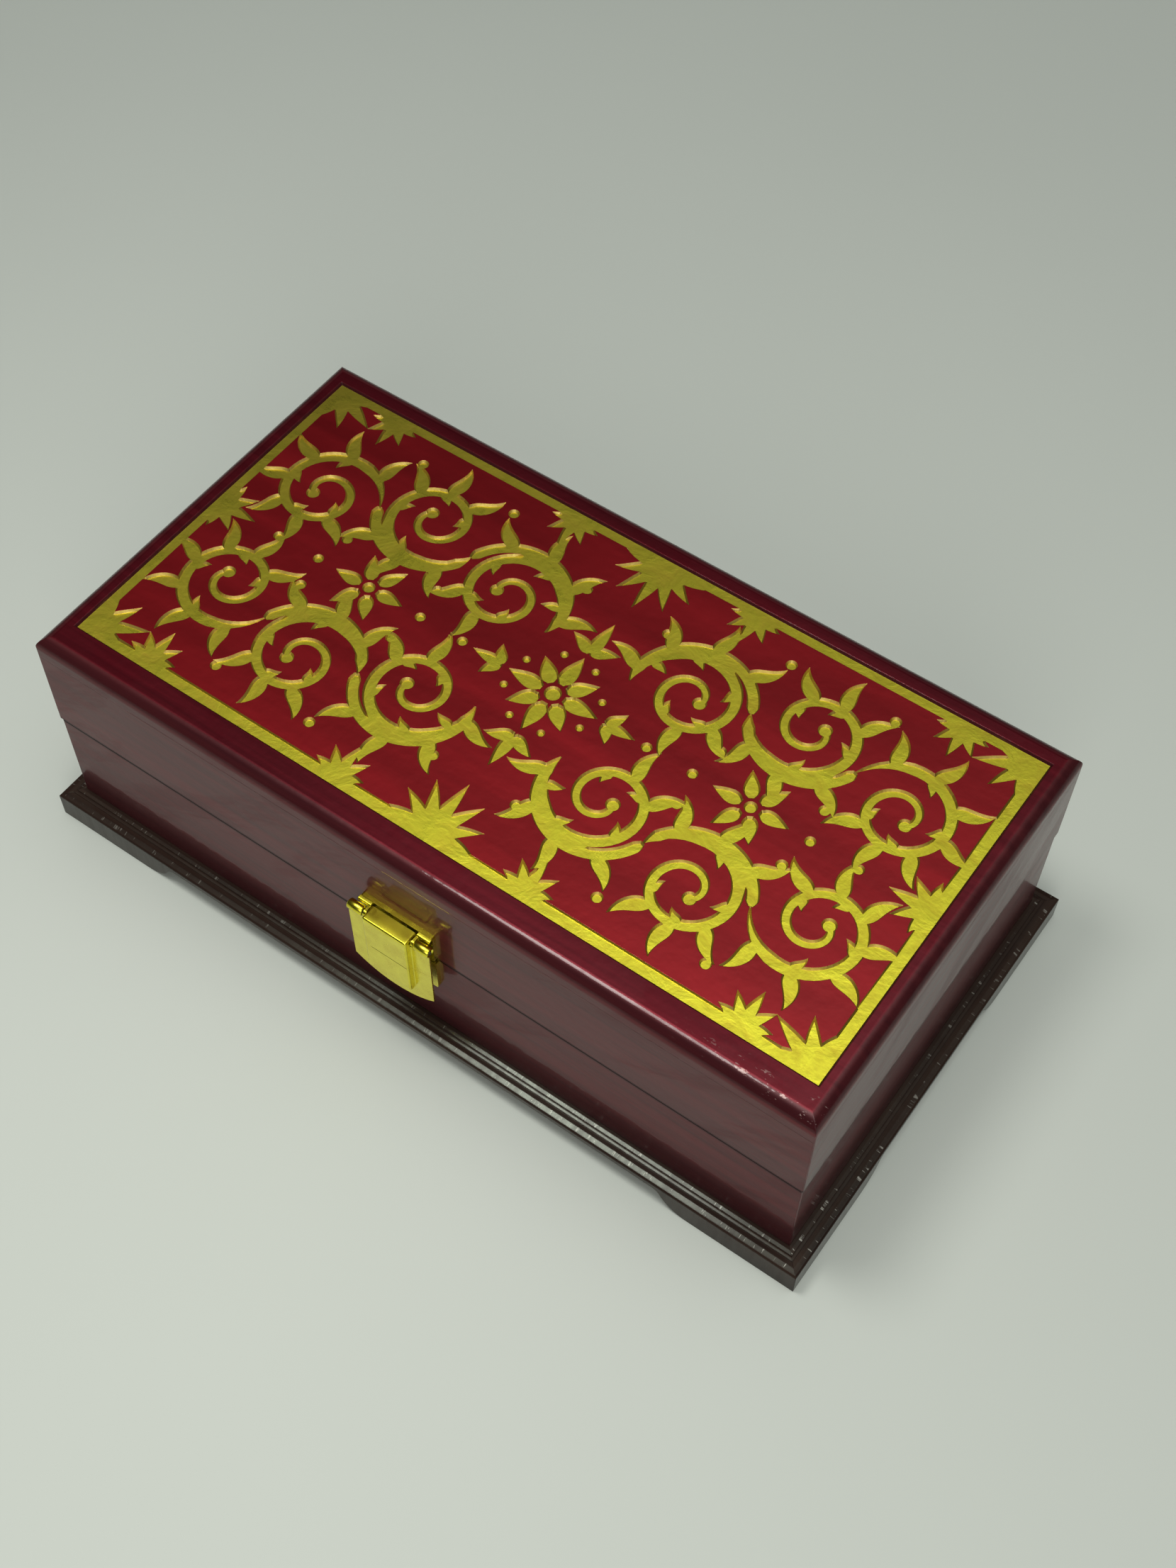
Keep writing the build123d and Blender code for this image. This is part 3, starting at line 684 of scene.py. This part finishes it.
def field_panel():
    """The red panel: its flat top, and at each cut edge a wall that leans into the cut by the cut's slope."""
    flat, triangles = cut_field(ornament())
    edges = np.concatenate([triangles[:, [0, 1]], triangles[:, [1, 2]], triangles[:, [2, 0]]])
    key = edges.min(1) * len(flat) + edges.max(1)
    _, back, count = np.unique(key, return_inverse=True, return_counts=True)
    rim = edges[count[back] == 1]
    along = flat[rim[:, 1]] - flat[rim[:, 0]]
    length = np.maximum(np.linalg.norm(along, axis=1), 1e-9)[:, None]
    outward = np.stack([along[:, 1], -along[:, 0]], 1) / length
    lean = np.zeros_like(flat)
    np.add.at(lean, rim[:, 0], outward)
    np.add.at(lean, rim[:, 1], outward)
    size = np.maximum(np.linalg.norm(lean, axis=1), 1e-9)[:, None]
    lean = lean / size * np.minimum(2 / size, cut_lean_limit)
    top = np.column_stack([flat * mm, np.full(len(flat), lid_level)])
    foot = np.column_stack([flat * mm + lean * cut_slope, np.full(len(flat), gilt_level - 0.02 * mm)])
    points = np.concatenate([top, foot]) + (0, border_middle, 0)
    walls = np.column_stack([rim[:, 1], rim[:, 0], rim[:, 0] + len(flat), rim[:, 1] + len(flat)])
    faces = triangles.tolist() + walls.tolist()
    finish_of = [0] * len(triangles) + [1] * len(walls)
    panel = mesh_piece("engraved_field", points, faces, "lid", [field_red, gilt_edge], finish_of)
    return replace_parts(panel, "lid_field_panel")


def rounded_step():
    """Section of the panel's side, from its level front to the sheet: (away from the panel's edge, depth)."""
    turn = np.radians(np.linspace(0, 90, 6))
    away = panel_rounding * (np.sin(turn) - 1) - wall_draft
    top = np.column_stack([away, panel_rounding * (1 - np.cos(turn))])
    turn = np.radians(np.linspace(0, 90, 4))
    away = wall_draft + panel_fillet * (1 - np.cos(turn))
    foot = np.column_stack([away, panel_rise - panel_fillet * (1 - np.sin(turn))])
    return np.concatenate([top, foot])


def flap_sheet_columns():
    """Across the flap: places and depths, mirrored about the middle, with close columns beside each bend."""
    step = rounded_step() + (panel_half, 0)
    inside = [(x, 0.0) for x in (*panel_columns, -crease_start - 0.2, -crease_start, step[0, 0] - 0.2)]
    outside = [(x, panel_rise) for x in (sheet_column, ear_start, *ear_columns, flap_half - 0.3, flap_half)]
    right = np.array(inside + step.tolist() + outside)
    return np.concatenate([right[:0:-1] * (-1, 1), right])


def flap_sheet_rows():
    """Up the flap, above its shaped lower part: levels and depths, with close rows beside each bend and the
    crease."""
    step = rounded_step()[::-1] * (-1, 1) + (panel_low, 0)
    creased = [crease_level + d for d in (-0.3, -0.13, 0.0, 0.13, 0.3)]
    plain = [step[-1, 0] + 0.2, panel_rows[0], *creased, panel_rows[1], notch_level - 0.2, notch_level]
    return np.concatenate([step, [(z, 0.0) for z in plain]])


def grid_numbers(count, shape):
    """The point numbers of a grid of this shape that starts after so many points."""
    return count + np.arange(shape[0] * shape[1]).reshape(shape[:2])


def grid_faces(index):
    """The four-sided faces of a grid of point numbers, facing forward."""
    return np.stack([index[:-1, :-1], index[:-1, 1:], index[1:, 1:], index[1:, :-1]], -1).reshape(-1, 4)


def flap_front(across, sunk):
    """The flap's face. Its lower edge is an arc. The raised panel's depth at a point is the sheet's depth
    less the product of what its column and its row have risen, and a fine crease crosses it."""
    levels, dips = flap_sheet_rows().T
    sag = flap_corner_low - flap_middle_low
    arc = (flap_half**2 + sag**2) / (2 * sag)
    low = flap_middle_low + arc - np.sqrt(arc**2 - across**2)
    share = np.array([0.0, 0.04, 0.3, 0.6, 0.9])[:, None]
    lower = low + (levels[0] - low) * share
    up = np.concatenate([lower, np.repeat(levels[:, None], len(across), 1)])
    dips = np.concatenate([np.full(len(lower), panel_rise), dips])
    depth = panel_rise - (panel_rise - sunk) * (panel_rise - dips[:, None]) / panel_rise
    crossed = (across > crease_start + 0.1) * (across < panel_half - panel_rounding)
    crease = crease_depth * (np.abs(up - crease_level) < 0.05) * crossed
    return np.stack([np.broadcast_to(across, up.shape), panel_out - depth - crease, up], -1)


def flap_shelf(across, sunk):
    """The panel bent back over the top: each column follows the bend by a quarter circle, smaller by its own
    depth."""
    turn = np.radians(np.linspace(0, 90, 8))[:, None]
    radius = np.maximum(shelf_rounding - sunk, smallest_bend)
    side = panel_out - sunk
    top = shelf_level - sunk
    back = np.array([*shelf_rows, shelf_back + 0.2, shelf_back])[:, None]
    out = np.concatenate([[side], side - radius + radius * np.cos(turn), back + 0 * side])
    up = np.concatenate([[0 * top + shelf_low], top - radius + radius * np.sin(turn), top + 0 * back])
    return np.stack([across + 0 * out, out, up], -1)


def flap_ear(across):
    """The sheet beside the panel rolled back round the pin: most of a circle, a little smaller at the ear's
    ends."""
    first = -np.degrees(np.arccos((panel_out - panel_rise - pivot_out) / ear_radius))
    turn = np.radians(np.linspace(first, ear_turn, 30))[:, None]
    ends = np.isin(np.abs(across), (ear_start, flap_half))
    radius = np.where(ends, ear_end_radius, ear_radius)
    radius = radius + (turn == turn[0]) * (ear_radius - radius) * ear_first_share
    out, up = pivot_out + radius * np.cos(turn), pivot_level + radius * np.sin(turn)
    return np.stack([across + 0 * turn, out, up], -1)


def on_lid_front(points):
    """The latch's points, in millimetres across, out and up, brought to the lid's front in metres."""
    across, out, up = np.concatenate(points).T
    return np.column_stack([latch_middle + across, -lid_front - out, up]) * mm


def latch_flap():
    """The flap, pressed from one sheet: its face, the shelf that the panel makes over the top, and the two
    ears, each joined to its own columns of the face's top row."""
    across, sunk = flap_sheet_columns().T
    front = flap_front(across, sunk)
    number = grid_numbers(0, front.shape)
    points, faces = [front.reshape(-1, 3)], [grid_faces(number)]
    middle = np.abs(across) < panel_half + wall_draft + 0.01
    left, right = across <= -ear_start, across >= ear_start
    shelf = flap_shelf(across[middle], sunk[middle])
    for held, bent in ((middle, shelf), (left, flap_ear(across[left])), (right, flap_ear(across[right]))):
        rows = grid_numbers(sum(map(len, points)), bent.shape)
        faces.append(grid_faces(np.concatenate([number[-1:, held], rows])))
        points.append(bent.reshape(-1, 3))
    faces = np.concatenate(faces).tolist()
    flap = mesh_piece("pressed_flap", on_lid_front(points), faces, "flap", [latch_brass], smooth=True)
    thicken(flap, flap_thickness * mm, 0.16 * mm)
    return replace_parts(flap, "latch_flap")


def latch_tabs():
    """The lid plate's two tabs: its top bent forward over the pin's ends, and turned down at the front by a
    quarter circle."""
    turn = np.radians(np.linspace(0, 90, 6))
    middle = np.array([tab_out, shelf_level]) - tab_rounding
    bend = middle + tab_rounding * np.column_stack([np.cos(turn), np.sin(turn)])
    path = np.concatenate([[bend[0] - (0, tab_drop)], bend, [(plate_out - 0.2, shelf_level)]])
    points, faces = [], []
    for side in (-1, 1):
        across = np.sort(side * np.array([tab_start, tab_start + 0.2, tab_end - 0.2, tab_end]))
        faces += grid_faces(grid_numbers(sum(map(len, points)), (len(path), len(across)))).tolist()
        points.append(np.column_stack([np.tile(across, len(path)), np.repeat(path, len(across), 0)]))
    tabs = mesh_piece("plate_tabs", on_lid_front(points), faces, "lid", [latch_brass], smooth=True)
    thicken(tabs, tab_thickness * mm, 0.12 * mm)
    return tabs


def thicken(piece, thickness, easing):
    """Gives a surface its thickness behind it, with eased edges."""
    solid = piece.modifiers.new("thickness", "SOLIDIFY")
    solid.thickness = thickness
    solid.offset = -1
    edges = piece.modifiers.new("eased_edges", "BEVEL")
    edges.width = easing
    edges.segments = 3
    edges.limit_method = "ANGLE"
    edges.angle_limit = np.radians(50)
    edges.harden_normals = True


def roll_off(away, radius):
    """How far a rolled edge has risen, from 0 at the edge to 1: a quarter circle over the radius."""
    return np.sqrt(1 - np.clip(1 - away / radius, 0, 1) ** 2)


def pad_steps(half, radius):
    """Places from minus half to half, close together on the rolled edges."""
    edge = half - radius * np.array([0.0, 0.04, 0.15, 0.35, 0.65, 1.0, 1.5])
    middle = np.linspace(-edge[-1], edge[-1], 25)[1:-1]
    return np.concatenate([-edge, middle, edge[::-1]])


def lining_pad(node_name, body, axis, side, crown):
    """A board covered with velvet, in its node's place, whose soft face looks to one side along an axis. The
    face's height is a rolled edge all round, the product of the two ways' quarter circles, and a crown that
    is the product of two parabolas. Its outline pulls in a little between its corners."""
    low, high = (np.array(corner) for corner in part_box(node_name))
    first, second = [way for way in range(3) if way != axis]
    middle, half = (low + high) / 2, (high - low) / 2
    thick = 2 * half[axis]
    radius = min(pad_roll, 0.7 * thick)
    u = pad_steps(half[first], radius)[:, None]
    v = pad_steps(half[second], radius)[None, :]
    share_u, share_v = u / half[first], v / half[second]
    rise = roll_off(half[first] - np.abs(u), radius) * roll_off(half[second] - np.abs(v), radius)
    swell = crown * (1 - share_u**2) * (1 - share_v**2)
    front = thick - radius - crown + radius * rise + swell
    layers = []
    for height in (front, 0 * front):
        layer = np.empty(front.shape + (3,))
        layer[..., first] = middle[first] + u - pad_pull * share_u * (1 - share_v**2)
        layer[..., second] = middle[second] + v - pad_pull * share_v * (1 - share_u**2)
        layer[..., axis] = (low[axis] + height) if side > 0 else (high[axis] - height)
        layers.append(layer.reshape(-1, 3))
    number = grid_numbers(0, front.shape)
    top = grid_faces(number)
    bottom = top[:, ::-1] + front.size
    loop = np.concatenate([number[0, :-1], number[:-1, -1], number[-1, :0:-1], number[:0:-1, 0]])
    after = np.roll(loop, -1)
    walls = np.column_stack([after, loop, loop + front.size, after + front.size])
    faces = np.concatenate([top, bottom, walls])
    if side * (1 if axis != 1 else -1) > 0:
        faces = faces[:, ::-1]
    points = np.concatenate(layers)
    piece = mesh_piece("soft_" + node_name, points, faces.tolist(), body, [velvet], smooth=True)
    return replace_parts(piece, node_name)


def line_box():
    """The ten lining pieces: two pads and eight wall boards."""
    for body, level_name, level_side in (("base", "floor", 1), ("lid", "top", -1)):
        lining_pad(f"{body}_lining_{level_name}", body, 2, level_side, pad_crown)
        for name, axis, side in (("front", 1, 1), ("back", 1, -1), ("left", 0, 1), ("right", 0, -1)):
            lining_pad(f"{body}_lining_{name}", body, axis, side, board_crown)


# What stays of the model gets its finish


def dress(finishes):
    """Gives each named node its finish."""
    for material, names in finishes:
        for name in names:
            mesh = frame["nodes"][name].data
            mesh.materials.clear()
            mesh.materials.append(material)
            mesh.polygons.foreach_set("material_index", np.zeros(len(mesh.polygons), np.int32))


hinge_leaves = [f"hinge_{side}_{body}_leaf" for side in ("left", "right") for body in ("base", "lid")]
dress([
    (base_x, ["base_wall_front", "base_wall_back"]),
    (base_y, ["base_wall_left", "base_wall_right"]),
    (lid_x, ["lid_rail_front", "lid_rail_back", "lid_top_board"]),
    (lid_y, ["lid_rail_left", "lid_rail_right"]),
    (plinth_x, ["plinth_front", "plinth_back"]),
    (plinth_y, ["plinth_left", "plinth_right"]),
    (gilt, ["lid_gilt_ground"]),
    (bare_wood, ["base_bottom_panel"]),
    (hinge_brass, hinge_leaves),
    (steel, ["hinge_left_pin", "hinge_right_pin", "latch_pin"]),
    (screw_brass, ["hinge_base_screws", "hinge_lid_screws", "latch_lid_screws", "latch_keeper_screws"]),
    (latch_brass, ["latch_keeper_plate", "latch_lid_plate"]),
    (spring_brass, ["latch_clip"]),
])
field_panel()
latch_flap()
latch_tabs()
line_box()


# Floor, light and camera

floor_half = 6.0
sky_way = (0.10, 0.02, 0.995)
sky_peak = 3.85
sky_narrowness = 15.0
sky_least = 0.03
camera_place = (0.20417, -0.27369, 0.53059)
camera_turn = (32.6933, -0.1593, 35.6627)
lens_length = 62.05
lens_shift = (0.0097, 0.0690)

# Lamps: name, place, the spot they shine at, width, power in watts and spread in degrees.
lamps = [
    ("key", (-0.20, -0.16, 1.0), (0.0, -0.2, 0.0), 0.30, 0.62, 75),
    ("fill", (0.65, -1.05, 0.85), (0.0, -0.1, 0.0), 0.8, 6.0, 180),
]


def floor_finish():
    """Pale cloth-like ground, faintly clouded."""
    material, tree, shader = finish("floor", Roughness=0.9)
    clouds = noise(tree, place(tree), 3.0, 3.0, 0.5)
    join(tree, blend(tree, clouds, *floor_greys), shader, "Base Color")
    return material


def lay_floor():
    """A wide flat floor."""
    corners = np.array([(-1, -1, 0), (1, -1, 0), (1, 1, 0), (-1, 1, 0)]) * floor_half
    mesh = bpy.data.meshes.new("floor")
    mesh.from_pydata(corners.tolist(), [], [(0, 1, 2, 3)])
    mesh.materials.append(floor_finish())
    ground = bpy.data.objects.new("floor", mesh)
    bpy.context.scene.collection.objects.link(ground)


def light_room():
    """A soft room: light from all round, brightest overhead and a little behind the box. Its strength falls
    by e to the power of the narrowness times the direction's cosine less one."""
    world = bpy.data.worlds.new("room")
    bpy.context.scene.world = world
    world.use_nodes = True
    tree = world.node_tree
    sky = tree.nodes["Background"]
    way = node(tree, "ShaderNodeTexCoord").outputs["Generated"]
    cosine = node(tree, "ShaderNodeVectorMath", {"operation": "DOT_PRODUCT"}, i0=way, i1=sky_way)
    fall = product(tree, sums(tree, "SUBTRACT", cosine.outputs["Value"], 1.0), sky_narrowness)
    strength = sums(tree, "ADD", product(tree, sums(tree, "EXPONENT", fall), sky_peak), sky_least)
    sky.inputs["Color"].default_value = sky_colour
    tree.links.new(strength, sky.inputs["Strength"])


def soft_lamp(name, where, aim, size, power, spread):
    """A round soft lamp that shines from one place to another."""
    lamp = bpy.data.lights.new(name, "AREA")
    lamp.shape = "DISK"
    lamp.size = size
    lamp.energy = power
    lamp.spread = np.radians(spread)
    lamp.color = lamp_colour
    made = bpy.data.objects.new(name, lamp)
    made.location = where
    made.rotation_euler = (Vector(aim) - made.location).to_track_quat("-Z", "Y").to_euler()
    bpy.context.scene.collection.objects.link(made)


def set_camera():
    """The camera where the photograph was taken from."""
    lens = bpy.data.cameras.new("camera")
    lens.sensor_fit = "HORIZONTAL"
    lens.sensor_width = 36.0
    lens.lens = lens_length
    lens.shift_x, lens.shift_y = lens_shift
    lens.clip_start = 0.01
    made = bpy.data.objects.new("camera", lens)
    made.location = camera_place
    made.rotation_euler = np.radians(camera_turn).tolist()
    bpy.context.scene.collection.objects.link(made)
    bpy.context.scene.camera = made
    bpy.context.scene.view_settings.view_transform = "Standard"


lay_floor()
light_room()
for lamp in lamps:
    soft_lamp(*lamp)
set_camera()
